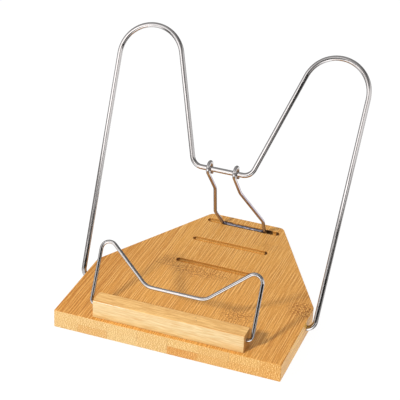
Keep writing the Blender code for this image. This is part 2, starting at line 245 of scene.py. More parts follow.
def tube(name, path, diameter, sides=32, ease=0.5 * MM):
    """A round wire along the path, its ends eased. The attribute wire_at holds each
    point's place on the straightened wire, in millimetres."""
    radius = diameter / 2
    path = [p for i, p in enumerate(path) if i == 0 or (p - path[i - 1]).length > 1e-7]
    path = resample(path, 4 * MM)
    tangents = []
    for i, p in enumerate(path):
        a = path[max(i - 1, 0)]
        b = path[min(i + 1, len(path) - 1)]
        tangents.append((b - a).normalized())
    stations = []
    along = 0.0
    for i, (p, t) in enumerate(zip(path, tangents)):
        if i:
            along += (p - path[i - 1]).length
        stations.append((p, t, along, radius))
    first, last = stations[0], stations[-1]
    caps = (0.0, 22.5, 45.0, 67.5, 90.0)
    head = [
        (
            first[0] - first[1] * ease * (math.sin(math.radians(c)) - 1),
            first[1],
            first[2] + ease * (1 - math.sin(math.radians(c))),
            radius - ease * (1 - math.cos(math.radians(c))),
        )
        for c in reversed(caps[1:])
    ]
    tail = [
        (
            last[0] + last[1] * ease * (math.sin(math.radians(c)) - 1),
            last[1],
            last[2] - ease * (1 - math.sin(math.radians(c))),
            radius - ease * (1 - math.cos(math.radians(c))),
        )
        for c in caps[1:]
    ]
    shoulder_a = (first[0] + first[1] * ease, first[1], first[2] + ease, radius)
    shoulder_b = (last[0] - last[1] * ease, last[1], last[2] - ease, radius)
    body = [s for s in stations[1:-1] if ease * 1.2 < s[2] < along - ease * 1.2]
    stations = head + [shoulder_a] + body + [shoulder_b] + tail

    mesh = bmesh.new()
    place = mesh.verts.layers.float_vector.new("wire_at")
    normal = stations[0][1].orthogonal().normalized()
    before = stations[0][1]
    rows = []
    for p, t, s, r in stations:
        normal = before.rotation_difference(t) @ normal
        normal = (normal - t * normal.dot(t)).normalized()
        before = t
        other = t.cross(normal)
        row = []
        for i in range(sides):
            a = 2 * math.pi * i / sides
            vert = mesh.verts.new(p + (normal * math.cos(a) + other * math.sin(a)) * r)
            vert[place] = Vector(
                (r * math.cos(a) / MM, r * math.sin(a) / MM, s / MM)
            )
            row.append(vert)
        rows.append(row)
    for low, high in zip(rows, rows[1:]):
        for i in range(sides):
            j = (i + 1) % sides
            mesh.faces.new((low[i], low[j], high[j], high[i]))
    for row, s in ((rows[0], 0.0), (rows[-1], along)):
        tip = mesh.verts.new(sum((v.co for v in row), Vector()) / sides)
        tip[place] = Vector((0, 0, s / MM))
        for i in range(sides):
            mesh.faces.new((row[i], row[(i + 1) % sides], tip))
    obj = mesh_object(name, mesh)
    obj.data.shade_smooth()
    return obj


# ---------------------------------------------------------------- wire routes


def frame_route():
    """The easel frame, from one pin in the board's side over both loops to the other."""
    loop, bend_radius, foot_bend = 27.32, 9.67, 7.0
    points = [(78.0, 0.0)]
    points += arc((101.2 - foot_bend, foot_bend), foot_bend, -math.pi / 2, 0, 18)
    centre = Vector((79.58, 189.57))
    foot = Vector((101.2, foot_bend))
    away = foot - centre
    start = math.atan2(away.y, away.x) + math.acos(loop / away.length)
    bend = Vector((17.67, 109.56 + bend_radius))
    line = bend - centre
    end = math.atan2(line.y, line.x) - math.acos((loop + bend_radius) / line.length)
    end += 2 * math.pi * (end < start)
    points += arc(centre, loop, start, end, 80)
    meet = bend - bend_radius * Vector((math.cos(end), math.sin(end)))
    back = math.atan2((meet - bend).y, (meet - bend).x)
    points += arc(bend, bend_radius, back, -math.pi / 2, 26)
    return mirrored(points, FRAME_TILT, FRAME_PIVOT)


def holder_route():
    """The page holder, from one pin in the bar's end over both humps to the other."""
    hump, bend_radius, foot_bend = 6.65, 12.92, 3.4
    points = [(52.4, 0.0)]
    points += arc((67.35 - foot_bend, foot_bend), foot_bend, -math.pi / 2, 0, 14)
    centre = Vector((60.52, 44.46))
    foot = Vector((67.35, foot_bend))
    away = foot - centre
    start = math.atan2(away.y, away.x) + math.acos(hump / away.length)
    bend = Vector((19.67, 22.73 + bend_radius))
    line = bend - centre
    end = math.atan2(line.y, line.x) - math.acos((hump + bend_radius) / line.length)
    end += 2 * math.pi * (end < start)
    points += arc(centre, hump, start, end, 40)
    meet = bend - bend_radius * Vector((math.cos(end), math.sin(end)))
    back = math.atan2((meet - bend).y, (meet - bend).x)
    points += arc(bend, bend_radius, back, -math.pi / 2, 26)
    return mirrored(points, HOLDER_TILT, HOLDER_PIVOT)


def mirrored(half, tilt, pivot):
    """Both halves of a route, millimetres in a plane that leans back by the tilt."""
    lean = Vector((0, math.cos(tilt), math.sin(tilt)))
    right = [pivot + (Vector((x, 0, 0)) + v * lean) * MM for x, v in half]
    left = [Vector((-p.x, p.y, p.z)) for p in reversed(right)]
    return right + left


def leg_route():
    """The support leg, from one hook over the frame's middle bar to the other."""
    radius, tail = 4.7, 9.4
    eye = Vector((0, 0.6, 0.5))
    foot = Vector((0, 88.8, 16.0)) - LEG_PIVOT / MM
    away = foot - eye
    touch = math.atan2(away.z, away.y) - math.acos(radius / away.length)
    ring_end = touch - math.radians(207)
    ring = [
        Vector((0, eye.y + radius * math.cos(a), eye.z + radius * math.sin(a)))
        for a in (ring_end + (touch - ring_end) * i / 60 for i in range(61))
    ]
    down = Vector((0, math.sin(ring_end), -math.cos(ring_end)))
    ring.insert(0, ring[0] + tail * down)
    top = ring[-1]
    run = foot - top

    def at(half, share):
        return Vector((half, top.y + run.y * share, top.z + run.z * share))

    side = [at(11.4, 0), at(11.1, 0.27), at(21.9, 0.767), at(19.2, 1), at(0, 1)]
    lower = fillet(side, (28, 9, 4), steps=16)
    half = [Vector((11.4, p.y, p.z)) for p in ring[:-1]] + lower
    path = half + [Vector((-p.x, p.y, p.z)) for p in reversed(half[:-1])]
    return [LEG_PIVOT + (p + Vector((0.5, 0, 0))) * MM for p in path]


# ---------------------------------------------------------------- node networks


class Net:
    """Short names for the nodes of one material or world."""

    def __init__(self, tree):
        self.tree = tree
        tree.nodes.clear()

    def node(self, kind, **settings):
        made = self.tree.nodes.new(kind)
        for key, value in settings.items():
            setattr(made, key, value)
        return made

    def put(self, socket, value):
        if value is None:
            return
        if isinstance(value, bpy.types.NodeSocket):
            self.tree.links.new(value, socket)
        elif isinstance(value, (tuple, list)) and len(socket.default_value) == 4:
            socket.default_value = (*value[:3], 1)
        else:
            socket.default_value = value

    def math(self, operation, a, b=None, c=None, clamp=False):
        node = self.node("ShaderNodeMath", operation=operation, use_clamp=clamp)
        for socket, value in zip(node.inputs, (a, b, c)):
            self.put(socket, value)
        return node.outputs[0]

    def add(self, a, b):
        return self.math("ADD", a, b)

    def sub(self, a, b):
        return self.math("SUBTRACT", a, b)

    def mul(self, a, b):
        return self.math("MULTIPLY", a, b)

    def most(self, a, b):
        return self.math("MAXIMUM", a, b)

    def least(self, a, b):
        return self.math("MINIMUM", a, b)

    def one_minus(self, a):
        return self.math("SUBTRACT", 1.0, a)

    def vector(self, operation, a, b=None):
        node = self.node("ShaderNodeVectorMath", operation=operation)
        self.put(node.inputs[0], a)
        self.put(node.inputs[1], b)
        return node.outputs["Value" if operation == "DOT_PRODUCT" else "Vector"]

    def split(self, vector):
        node = self.node("ShaderNodeSeparateXYZ")
        self.put(node.inputs[0], vector)
        return node.outputs[0], node.outputs[1], node.outputs[2]

    def join(self, x, y, z):
        node = self.node("ShaderNodeCombineXYZ")
        for socket, value in zip(node.inputs, (x, y, z)):
            self.put(socket, value)
        return node.outputs[0]

    def noise(self, vector, scale, detail=2.0, roughness=0.5, distortion=0.0, colour=False):
        node = self.node("ShaderNodeTexNoise")
        self.put(node.inputs["Vector"], vector)
        for name, value in (
            ("Scale", scale),
            ("Detail", detail),
            ("Roughness", roughness),
            ("Distortion", distortion),
        ):
            self.put(node.inputs[name], value)
        return node.outputs["Color" if colour else "Fac"]

    def streaks(self, vector, scale, apart):
        """Noise with its slow part taken out, about -0.3 to 0.3: fine lines only."""
        one = self.noise(self.vector("ADD", vector, (apart / 2, 0, 0)), scale, 1.0, 0.5)
        two = self.noise(self.vector("ADD", vector, (-apart / 2, 0, 0)), scale, 1.0, 0.5)
        return self.sub(one, two)

    def cells(self, vector, scale, colour=False, **settings):
        node = self.node("ShaderNodeTexVoronoi", **settings)
        self.put(node.inputs["Vector"], vector)
        self.put(node.inputs["Scale"], scale)
        return node.outputs["Color" if colour else "Distance"]

    def white(self, vector):
        node = self.node("ShaderNodeTexWhiteNoise", noise_dimensions="3D")
        self.put(node.inputs["Vector"], vector)
        return node.outputs["Color"]

    def step(self, value, low, high, to_low=0.0, to_high=1.0):
        """Smooth rise from to_low at low to to_high at high."""
        node = self.node("ShaderNodeMapRange", interpolation_type="SMOOTHSTEP")
        for socket, item in zip(node.inputs, (value, low, high, to_low, to_high)):
            self.put(socket, item)
        return node.outputs[0]

    def line(self, value, low, high, to_low=0.0, to_high=1.0):
        node = self.node("ShaderNodeMapRange", interpolation_type="LINEAR")
        for socket, item in zip(node.inputs, (value, low, high, to_low, to_high)):
            self.put(socket, item)
        return node.outputs[0]

    def band(self, value, low, high, soft):
        """1 between low and high, falling to 0 over soft outside."""
        up = self.step(value, low - soft, low)
        down = self.step(value, high, high + soft, 1.0, 0.0)
        return self.mul(up, down)

    def near(self, value, centre, reach):
        """1 at the centre, falling to 0 at reach from it."""
        return self.step(self.math("ABSOLUTE", self.sub(value, centre)), 0.0, reach, 1.0, 0.0)

    def spot(self, x, y, centre, reach, hard=0.5):
        """An elliptic spot, 1 inside, 0 outside."""
        a = self.math("DIVIDE", self.sub(x, centre[0]), reach[0])
        b = self.math("DIVIDE", self.sub(y, centre[1]), reach[1])
        away = self.math("SQRT", self.add(self.mul(a, a), self.mul(b, b)))
        return self.step(away, hard, 1.0, 1.0, 0.0)

    def mix(self, share, a, b, blend="MIX"):
        node = self.node("ShaderNodeMix", data_type="RGBA", blend_type=blend)
        self.put(node.inputs[0], share)
        self.put(node.inputs[6], a)
        self.put(node.inputs[7], b)
        return node.outputs[2]

    def blend(self, share, a, b):
        """A number between a and b."""
        return self.add(self.mul(self.one_minus(share), a), self.mul(share, b))

    def steps(self, value, levels, low):
        """levels[i] where the value is i, for whole numbers from low."""
        node = self.node("ShaderNodeValToRGB")
        ramp = node.color_ramp
        ramp.interpolation = "CONSTANT"
        count = len(levels)
        self.put(node.inputs[0], self.line(value, low - 0.5, low + count - 0.5))
        while len(ramp.elements) < count:
            ramp.elements.new(0.5)
        for i, level in enumerate(levels):
            ramp.elements[i].position = i / count
            ramp.elements[i].color = (level, level, level, 1)
        return node.outputs[0]


    def levels(self, value, stops):
        """A soft curve over a turn: stops are (degrees, level), levels up to 2."""
        node = self.node("ShaderNodeValToRGB")
        ramp = node.color_ramp
        ramp.interpolation = "LINEAR"
        self.put(node.inputs[0], value)
        while len(ramp.elements) < len(stops):
            ramp.elements.new(0.5)
        for element, (degrees, level) in zip(ramp.elements, stops):
            element.position = (degrees + 180) / 360
            element.color = (level / 2, level / 2, level / 2, 1)
        return self.mul(node.outputs[0], 2.0)


def new_material(name):
    made = bpy.data.materials.new(name)
    made.use_nodes = True
    net = Net(made.node_tree)
    out = net.node("ShaderNodeOutputMaterial")
    shader = net.node("ShaderNodeBsdfPrincipled")
    net.put(out.inputs[0], shader.outputs[0])
    return made, net, shader


def object_mm(net):
    """The piece's own coordinates, in millimetres."""
    where = net.node("ShaderNodeTexCoord")
    return net.vector("MULTIPLY", where.outputs["Object"], (1000, 1000, 1000)), where


def bump(net, shader, height, strength, distance):
    node = net.node("ShaderNodeBump")
    net.put(node.inputs["Strength"], strength)
    net.put(node.inputs["Distance"], distance)
    net.put(node.inputs["Height"], height)
    net.put(shader.inputs["Normal"], node.outputs[0])


# ---------------------------------------------------------------- materials


def board_material():
    """Plain-pressed bamboo: wide strips in two layers, fibres along Y."""
    made, net, shader = new_material("bamboo_board")
    at, where = object_mm(net)
    x, y, z = net.split(at)
    nx, ny, nz = net.split(where.outputs["Normal"])
    end = net.step(net.math("ABSOLUTE", ny), 0.5, 0.9)
    top = net.step(nz, 0.5, 0.9)

    # The strips of both layers
    share = net.math("DIVIDE", net.add(x, 74.5), 25.42)
    strip = net.math("FLOOR", share)
    inside = net.mul(net.sub(share, strip), 25.42)
    upper = net.math("GREATER_THAN", z, 9.3)
    key = net.join(net.add(strip, 0.5), net.mul(upper, 7.3), 2.5)
    chance = net.white(key)
    rx, ry, rz = net.split(chance)
    seed = net.vector("MULTIPLY", chance, (90, 40, 60))
    seam = net.least(inside, net.sub(25.42, inside))
    joint = net.step(seam, 0.05, 0.3, 1.0, 0.0)
    layer_joint = net.near(z, 9.3, 0.3)

    # Fibres: the same field is lines on the top and specks in the end grain
    long_at = net.vector("ADD", net.vector("MULTIPLY", at, (1.0, 0.008, 1.0)), seed)
    wavy_at = net.vector("ADD", net.vector("MULTIPLY", at, (1.0, 0.03, 1.0)), seed)
    close_at = net.vector("ADD", net.vector("MULTIPLY", at, (1.0, 0.026, 1.0)), seed)
    dash_at = net.vector("ADD", net.vector("MULTIPLY", at, (1.0, 0.30, 1.0)), seed)
    broad = net.step(net.noise(long_at, 0.14, 2.0, 0.5), 0.30, 0.70)
    lines = net.noise(long_at, 0.72, 2.0, 0.55)
    close = net.streaks(close_at, 1.25, 0.75)
    dash = net.noise(dash_at, 2.1, 1.0, 0.5)
    fine = net.noise(wavy_at, 2.8, 2.0, 0.6)
    threads = net.math("ABSOLUTE", net.sub(net.noise(long_at, 0.55, 2.0, 0.5), 0.5))
    thread = net.step(threads, 0.0, 0.022, 1.0, 0.0)
    bundle = net.step(net.cells(long_at, 0.95), 0.12, 0.4, 1.0, 0.0)
    dark_line = net.step(lines, 0.50, 0.63)
    light_line = net.step(lines, 0.47, 0.36)

    # Tone of each strip, dark to light
    tone_up = net.steps(strip, (0.50, 0.48, 0.85, 0.48, 0.60, 0.66, 0.50, 0.50), -1)
    deep = net.steps(strip, (1.0, 0.45, 0.0, 0.15, 0.0, 0.10, 0.0, 0.45), -1)
    rough_lines = net.steps(strip, (0.62, 0.42, 0.16, 0.20, 0.16, 0.18, 0.16, 0.20), -1)
    tone_low = net.steps(strip, (0.60, 0.36, 0.80, 0.62, 0.08, 0.40, 0.28, 0.18), -1)
    tone_end = net.steps(strip, (0.68, 0.62, 0.74, 0.62, 0.66, 0.44, 0.46, 0.16), -1)
    tone_end = net.blend(upper, tone_low, tone_end)

    # Knuckle places: mottled patches across some strips
    wander = net.vector("SUBTRACT", net.noise(at, 0.12, 2.0, 0.5, colour=True), (0.5, 0.5, 0.5))
    wx, wy, wz = net.split(net.vector("MULTIPLY", wander, (14, 12, 0)))
    px, py = net.add(x, wx), net.add(y, wy)
    knuckle = 0.0
    for centre, reach, force in (
        ((87.0, -20.5), (16.0, 15.0), 1.0),
        ((42.0, -49.0), (20.0, 13.0), 0.85),
        ((-8.0, 1.5), (40.0, 11.0), 0.80),
        ((-37.0, 10.0), (17.0, 11.0), 0.60),
        ((30.0, 66.0), (24.0, 6.0), 0.30),
        ((-28.0, 36.0), (16.0, 5.0), 0.22),
    ):
        knuckle = net.most(knuckle, net.mul(net.spot(px, py, centre, reach, 0.35), force))
    knuckle = net.mul(knuckle, upper)
    mottle = net.noise(net.vector("MULTIPLY", at, (1.0, 0.8, 1.0)), 0.88, 1.0, 0.5, 0.6)
    crease = net.math("ABSOLUTE", net.sub(net.add(y, net.mul(wy, 0.12)), 1.9))
    crease = net.mul(net.step(crease, 0.15, 0.65, 1.0, 0.0), net.band(x, -48.0, -29.0, 2.0))
    crease = net.mul(crease, upper)

    # Colour along the grain
    along = net.mix(broad, (0.600, 0.268, 0.044), (0.652, 0.306, 0.058))
    along = net.mix(net.mul(net.one_minus(tone_up), 0.40), along, (0.50, 0.205, 0.036))
    along = net.mix(net.mul(dark_line, rough_lines), along, (0.44, 0.168, 0.026))
    along = net.mix(net.mul(light_line, net.mul(rough_lines, 0.75)), along, (0.86, 0.52, 0.185))
    along = net.mix(net.mul(net.step(close, 0.0, 0.24), 0.92), along, (0.42, 0.160, 0.025))
    along = net.mix(net.mul(net.step(close, 0.0, -0.24), 0.85), along, (0.82, 0.47, 0.148))
    along = net.mix(net.mul(thread, 0.14), along, (0.34, 0.125, 0.020))
    along = net.mix(net.mul(bundle, 0.14), along, (0.38, 0.15, 0.03))
    along = net.mix(net.mul(net.step(dash, 0.50, 0.68), 0.30), along, (0.42, 0.17, 0.030))
    along = net.mix(net.mul(net.step(dash, 0.50, 0.32), 0.25), along, (0.86, 0.50, 0.17))
    along = net.mix(deep, along, (0.88, 0.80, 0.66), "MULTIPLY")
    along = net.mix(net.step(y, 5.0, 60.0, 0.0, 0.5), along, (1.10, 1.18, 1.30), "MULTIPLY")
    blot = net.mul(knuckle, net.step(mottle, 0.46, 0.58))
    along = net.mix(net.mul(blot, 0.95), along, (0.27, 0.088, 0.010))
    pale = net.mul(knuckle, net.step(mottle, 0.48, 0.36))
    along = net.mix(net.mul(pale, 0.60), along, (0.82, 0.43, 0.11))
    along = net.mix(net.mul(crease, 0.6), along, (0.24, 0.09, 0.018))

    # Colour of the cut ends
    cut = net.mix(tone_end, (0.39, 0.180, 0.026), (0.500, 0.345, 0.136))
    speck = net.step(net.cells(net.vector("ADD", net.vector("MULTIPLY", at, (1.0, 0.03, 1.0)), seed), 1.15), 0.12, 0.42, 1.0, 0.0)
    cut = net.mix(net.mul(speck, 0.70), cut, (0.30, 0.150, 0.045))
    cut = net.mix(net.mul(net.step(net.streaks(close_at, 1.3, 0.7), 0.0, 0.24), 0.75), cut, (0.74, 0.54, 0.29))
    cut = net.mix(net.mul(net.step(net.streaks(close_at, 1.3, 0.7), 0.0, -0.24), 0.45), cut, (0.28, 0.135, 0.035))
    cut = net.mix(net.steps(strip, (0.0, 0.0, 0.0, 0.15, 0.35, 0.45, 0.75, 1.0), -1), cut, (1.08, 0.98, 0.74), "MULTIPLY")
    warm = net.mul(net.steps(strip, (0.0, 0.35, 0.0, 0.0, 1.0, 0.5, 0.3, 0.3), -1), net.one_minus(upper))
    cut = net.mix(warm, cut, (0.98, 0.86, 0.68), "MULTIPLY")
    arcs = net.noise(net.vector("MULTIPLY", at, (0.35, 0.0, 1.6)), 0.5, 2.0, 0.5, 1.5)
    cut = net.mix(net.mul(net.step(arcs, 0.5, 0.64), 0.18), cut, (0.45, 0.24, 0.065))

    colour = net.mix(end, along, cut)
    # Painted light: the right side face, which the lamp leaves in shade, is lightened and yellowed, and the left side
    # face is lightened a little
    side_painted_light = net.step(nx, 0.92, 0.98)
    colour = net.mix(side_painted_light, colour, (1.30, 1.42, 0.88), "MULTIPLY")
    colour = net.mix(net.step(nx, -0.92, -0.98), colour, (1.10, 1.12, 1.10), "MULTIPLY")
    gap = net.mul(joint, net.step(net.noise(at, 0.09, 1.0), 0.42, 0.60))
    colour = net.mix(net.mul(gap, net.blend(end, 0.30, 0.45)), colour, (0.22, 0.10, 0.03))
    crack = 0.0
    for place, low, high in ((1.8, 9.0, 15.0), (-23.7, 7.0, 10.5), (52.6, 9.6, 12.6)):
        bent = net.add(x, net.mul(net.sub(net.noise(at, 0.6, 1.0), 0.5), 0.5))
        crack = net.most(crack, net.mul(net.step(net.math("ABSOLUTE", net.sub(bent, place)), 0.08, 0.24, 1.0, 0.0), net.band(z, low, high, 0.8)))
    colour = net.mix(net.mul(net.mul(crack, end), 0.6), colour, (0.16, 0.07, 0.02))
    sides = net.sub(1.0, top)
    colour = net.mix(net.mul(net.mul(layer_joint, sides), 0.14), colour, (0.25, 0.12, 0.035))

    # Grooves: painted shade darkens the floor and walls of each groove, most towards the top edge of the walls
    field = net.mul(net.step(z, 16.80, 16.98, 1.0, 0.0), net.step(z, 14.0, 14.1))
    field = net.mul(field, net.step(net.math("ABSOLUTE", x), 36.0, 38.0, 1.0, 0.0))
    field = net.mul(field, net.mul(net.step(y, 5.0, 8.0), net.step(y, 95.0, 94.0)))
    wall = net.step(z, 14.2, 16.6)
    groove_painted_shade = net.mix(wall, (0.95, 0.84, 0.62), (0.76, 0.50, 0.22))
    colour = net.mix(field, colour, groove_painted_shade, "MULTIPLY")
    # Painted shade: the front groove is darkened further, more towards its left end
    front_groove_shade = net.add(0.45, net.mul(net.step(x, -20.0, 10.0), -0.20))
    colour = net.mix(net.mul(net.mul(field, net.step(y, 19.0, 18.0)), front_groove_shade), colour, (0.62, 0.50, 0.36), "MULTIPLY")
    # Painted shade and shadow with router burn: the dark crescents on the left end walls are painted shade, the spots
    # right of each leg foot in the rear groove are painted shadows of the legs, and the spots at the right ends of the
    # rear and middle grooves are burn where the cutter stopped
    scorch_and_shadow = net.mul(net.mul(net.step(x, -31.6, -32.8), net.step(z, 14.4, 15.6)), 0.75)
    for centre, reach in (((31.0, 91.2), (1.7, 3.2)), ((31.8, 55.4), (1.5, 3.0)), ((23.4, 91.5), (3.4, 2.9)), ((-12.8, 91.5), (2.0, 2.0))):
        scorch_and_shadow = net.most(scorch_and_shadow, net.spot(x, y, centre, reach, 0.75))
    colour = net.mix(net.mul(net.mul(scorch_and_shadow, field), 0.93), colour, (0.030, 0.012, 0.004))
    shader_colour = colour
    net.put(shader.inputs["Base Color"], shader_colour)

    rough = net.add(0.40, net.mul(net.sub(fine, 0.5), 0.18))
    rough = net.add(rough, net.mul(knuckle, 0.06))
    rough = net.add(rough, net.mul(end, 0.10))
    net.put(shader.inputs["Roughness"], rough)
    shader.inputs["Specular IOR Level"].default_value = 0.4
    shader.inputs["Coat Weight"].default_value = 0.0
    height = net.sub(net.mul(lines, 0.6), net.mul(net.add(joint, bundle), 0.35))
    bump(net, shader, height, 0.35, 0.00006)
    return made


def bar_material():
    """Paler bamboo with the fibres along X."""
    made, net, shader = new_material("bamboo_bar")
    at, where = object_mm(net)
    x, y, z = net.split(at)
    nx, ny, nz = net.split(where.outputs["Normal"])
    end = net.step(net.math("ABSOLUTE", nx), 0.5, 0.85)
    front = net.step(net.mul(ny, -1.0), 0.5, 0.85)

    warp = net.mul(net.sub(net.noise(net.vector("MULTIPLY", at, (0.05, 0.3, 0.3)), 1.0, 2.0), 0.5), 3.0)
    bent = net.join(net.mul(x, 0.022), y, net.add(z, warp))
    broad = net.noise(bent, 0.30, 2.0, 0.5)
    lines = net.noise(bent, 1.1, 3.0, 0.6)
    fine = net.noise(net.vector("MULTIPLY", at, (0.05, 1.0, 1.0)), 1.9, 1.0, 0.5)
    speck = net.step(net.cells(net.vector("MULTIPLY", at, (0.02, 1.0, 1.0)), 1.2), 0.1, 0.38, 1.0, 0.0)

    colour = net.mix(broad, (0.60, 0.325, 0.096), (0.73, 0.445, 0.160))
    colour = net.mix(net.mul(net.step(lines, 0.52, 0.66), 0.5), colour, (0.52, 0.25, 0.062))
    colour = net.mix(net.mul(net.step(lines, 0.46, 0.36), 0.4), colour, (0.86, 0.56, 0.23))
    colour = net.mix(net.mul(net.step(fine, 0.50, 0.66), 0.62), colour, (0.50, 0.23, 0.055))
    colour = net.mix(net.mul(net.step(fine, 0.50, 0.34), 0.50), colour, (0.90, 0.60, 0.25))
    colour = net.mix(net.mul(speck, 0.10), colour, (0.42, 0.19, 0.05))

    pale = net.mix(broad, (0.450, 0.311, 0.139), (0.524, 0.405, 0.215))
    pale = net.mix(net.mul(net.step(lines, 0.50, 0.64), 0.45), pale, (0.45, 0.25, 0.080))
    pale = net.mix(net.mul(net.step(lines, 0.46, 0.36), 0.4), pale, (0.62, 0.46, 0.25))
    pale = net.mix(net.mul(net.step(fine, 0.50, 0.66), 0.62), pale, (0.46, 0.26, 0.085))
    pale = net.mix(net.mul(net.step(fine, 0.50, 0.34), 0.55), pale, (0.62, 0.46, 0.25))
    pale = net.mix(net.step(z, 25.0, 19.0), pale, (1.0, 0.94, 0.80), "MULTIPLY")
    # Painted highlight: a pale, less saturated line along the top front edge of the front face, on its left part
    painted_edge_highlight = net.mul(net.step(z, 31.3, 31.8), net.step(x, -28.0, -40.0))
    pale = net.mix(net.mul(painted_edge_highlight, net.step(net.noise(at, 0.8, 2.0), 0.35, 0.55)), pale, (0.56, 0.48, 0.33))
    low_right = net.mul(net.step(x, 25.0, 55.0), net.step(z, 26.0, 21.0))
    pale = net.mix(net.mul(low_right, 0.30), pale, (0.52, 0.28, 0.09))
    edge_line = net.mul(net.band(y, -96.4, -95.6, 0.3), net.most(net.band(x, -62.0, -47.0, 3.0), net.band(x, 27.0, 63.0, 6.0)))
    colour = net.mix(net.mul(edge_line, 0.55), colour, (0.50, 0.20, 0.045))
    colour = net.mix(front, colour, pale)

    cut = net.mix(broad, (0.42, 0.19, 0.043), (0.56, 0.28, 0.078))
    cut = net.mix(net.mul(speck, 0.35), cut, (0.27, 0.11, 0.025))
    colour = net.mix(end, colour, cut)

    # Knuckle with two small dark dots on the top
    colour = net.mix(net.mul(net.mul(net.near(x, 20.5, 4.5), net.step(nz, 0.5, 0.9)), net.mul(net.step(net.noise(at, 0.5, 2.0), 0.4, 0.6), 0.35)), colour, (0.52, 0.25, 0.07))
    for centre in ((20.0, -87.2), (21.8, -90.8)):
        dot = net.mul(net.spot(x, y, centre, (0.9, 0.7), 0.2), net.step(nz, 0.5, 0.9))
        colour = net.mix(net.mul(dot, 0.7), colour, (0.10, 0.04, 0.01))
    net.put(shader.inputs["Base Color"], colour)
    net.put(shader.inputs["Roughness"], net.add(0.36, net.mul(net.sub(fine, 0.5), 0.16)))
    shader.inputs["Specular IOR Level"].default_value = 0.45
    bump(net, shader, lines, 0.3, 0.00005)
    return made


def wire_material(name, tint, rough, painted_leg_shade=False):
    """Bright plated wire: drawing lines along it, faint haze and pits."""
    made, net, shader = new_material(name)
    place = net.node("ShaderNodeAttribute", attribute_name="wire_at")
    at = place.outputs["Vector"]
    drawn = net.noise(net.vector("MULTIPLY", at, (1.0, 1.0, 0.02)), 2.2, 3.0, 0.6)
    haze = net.noise(net.vector("MULTIPLY", at, (1.0, 1.0, 0.25)), 0.35, 3.0, 0.6)
    pits = net.step(net.cells(at, 0.8), 0.05, 0.14, 1.0, 0.0)
    rare = net.step(net.noise(at, 0.3, 1.0), 0.55, 0.65)
    pits = net.mul(pits, rare)
    colour = net.mix(haze, tuple(c * 0.93 for c in tint), tint)
    colour = net.mix(net.mul(pits, 0.5), colour, tuple(c * 0.45 for c in tint))
    if painted_leg_shade:
        # Painted shade: below the eyelets the leg gets a darker, bluer tint for the shaded board it mirrors, and the
        # foot is darkened in patches where it sits in the grooves
        mm, where = object_mm(net)
        x, y, z = net.split(mm)
        sides = net.step(z, 102.0, 96.0)
        colour = net.mix(sides, colour, (0.78, 0.72, 0.84), "MULTIPLY")
        low = net.step(z, 19.5, 17.5)
        foot_painted_shade = net.step(net.noise(net.vector("MULTIPLY", at, (1.0, 1.0, 0.45)), 0.85, 3.0, 0.65), 0.36, 0.56)
        colour = net.mix(net.mul(net.mul(low, foot_painted_shade), 0.85), colour, (0.10, 0.103, 0.115))
    net.put(shader.inputs["Base Color"], colour)
    shader.inputs["Metallic"].default_value = 0.90 if painted_leg_shade else 1.0
    level = net.add(rough, net.mul(net.step(haze, 0.45, 0.75), 0.07))
    level = net.add(level, net.mul(net.sub(drawn, 0.5), 0.05))
    net.put(shader.inputs["Roughness"], net.add(level, net.mul(pits, 0.2)))
    bump(net, shader, net.sub(net.mul(drawn, 0.5), pits), 0.25, 0.00002)
    return made


def screw_material():
    made, net, shader = new_material("screw_steel")
    at, where = object_mm(net)
    cloudy = net.noise(at, 0.9, 3.0, 0.6)
    turned_marks = net.noise(net.vector("MULTIPLY", at, (0.4, 0.4, 6.0)), 1.5, 2.0)
    colour = net.mix(cloudy, (0.46, 0.44, 0.41), (0.62, 0.60, 0.56))
    net.put(shader.inputs["Base Color"], colour)
    shader.inputs["Metallic"].default_value = 1.0
    net.put(shader.inputs["Roughness"], net.add(0.28, net.mul(turned_marks, 0.2)))
    bump(net, shader, turned_marks, 0.2, 0.00002)
    return made


def pad_material():
    made, net, shader = new_material("pad_rubber")
    at, where = object_mm(net)
    grain = net.noise(at, 5.0, 3.0, 0.6)
    dust = net.step(net.noise(at, 0.7, 3.0, 0.6), 0.5, 0.75)
    colour = net.mix(grain, (0.045, 0.045, 0.046), (0.085, 0.084, 0.082))
    colour = net.mix(net.mul(dust, 0.3), colour, (0.16, 0.15, 0.135))
    net.put(shader.inputs["Base Color"], colour)
    net.put(shader.inputs["Roughness"], net.add(0.68, net.mul(grain, 0.2)))
    bump(net, shader, grain, 0.3, 0.00003)
    return made


# ---------------------------------------------------------------- pieces


def board_rings(round_by, steps=5):
    """Outlines of the board from its lower to its upper face with rounded-over edges."""
    corners = [
        (-BOARD_HALF, FRONT_Y, 0.5 * MM),
        (BOARD_HALF, FRONT_Y, 0.5 * MM),
        (BOARD_HALF, SIDE_Y, 7 * MM),
        (REAR_HALF, REAR_Y, 6 * MM),
        (-REAR_HALF, REAR_Y, 6 * MM),
        (-BOARD_HALF, SIDE_Y, 7 * MM),
    ]
    return edge_rings(corners, BOARD_BOTTOM, BOARD_TOP, round_by, steps)


def edge_rings(corners, low, high, round_by, steps):
    rings = []
    for base, sign in ((low + round_by, -1), (high - round_by, 1)):
        turns = range(steps + 1)
        for i in reversed(turns) if sign < 0 else turns:
            a = math.pi / 2 * i / steps
            outline = rounded(inset(corners, round_by * (1 - math.cos(a))))
            height = base + sign * round_by * math.sin(a)
            rings.append([Vector((px, py, height)) for px, py in outline])
    return rings


def slot_ring(centre_y, length, width, height, steps=18):
    reach, radius = (length - width) / 2, width / 2
    right = arc((reach, 0), radius, -math.pi / 2, math.pi / 2, steps)
    left = arc((-reach, 0), radius, math.pi / 2, 3 * math.pi / 2, steps)
    return [Vector((px, centre_y + py, height)) for px, py in right + left]


